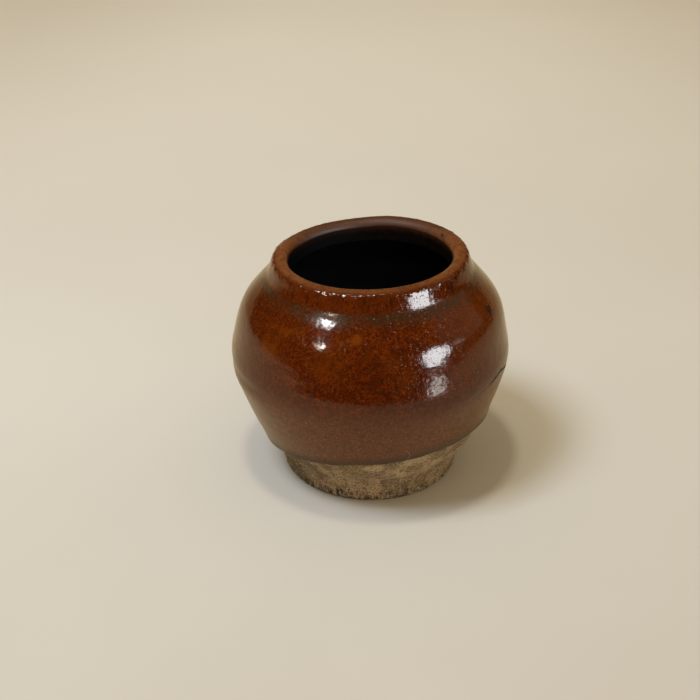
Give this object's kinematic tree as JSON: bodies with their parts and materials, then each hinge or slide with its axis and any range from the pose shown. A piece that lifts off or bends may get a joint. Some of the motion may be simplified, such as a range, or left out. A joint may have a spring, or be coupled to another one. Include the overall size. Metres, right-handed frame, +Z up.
{
  "type": "onggi jar",
  "caption": "Small round-bellied stoneware storage jar with a thick collar, a wide mouth, brown glaze inside and out, and an unglazed trimmed foot.",
  "frame": {"origin": "on the standing plane, under the middle of the jar's widest place", "axes": "+Z up, +X to the right and +Y away from the viewer of the picture; the jar's own axis leans 0.4 degrees from +Z towards -X"},
  "size_m": [0.112, 0.112, 0.094],
  "materials": {
    "foot_clay": "matte",
    "wall_clay": "matte",
    "outer_glaze": "glossy",
    "inner_glaze": "glossy"
  },
  "bodies": {
    "root": {"base_disc": "foot_clay", "lower_wall": "wall_clay", "upper_wall": "wall_clay", "collar": "wall_clay", "outer_glaze": "outer_glaze", "inner_glaze": "inner_glaze"}
  },
  "joints": []
}
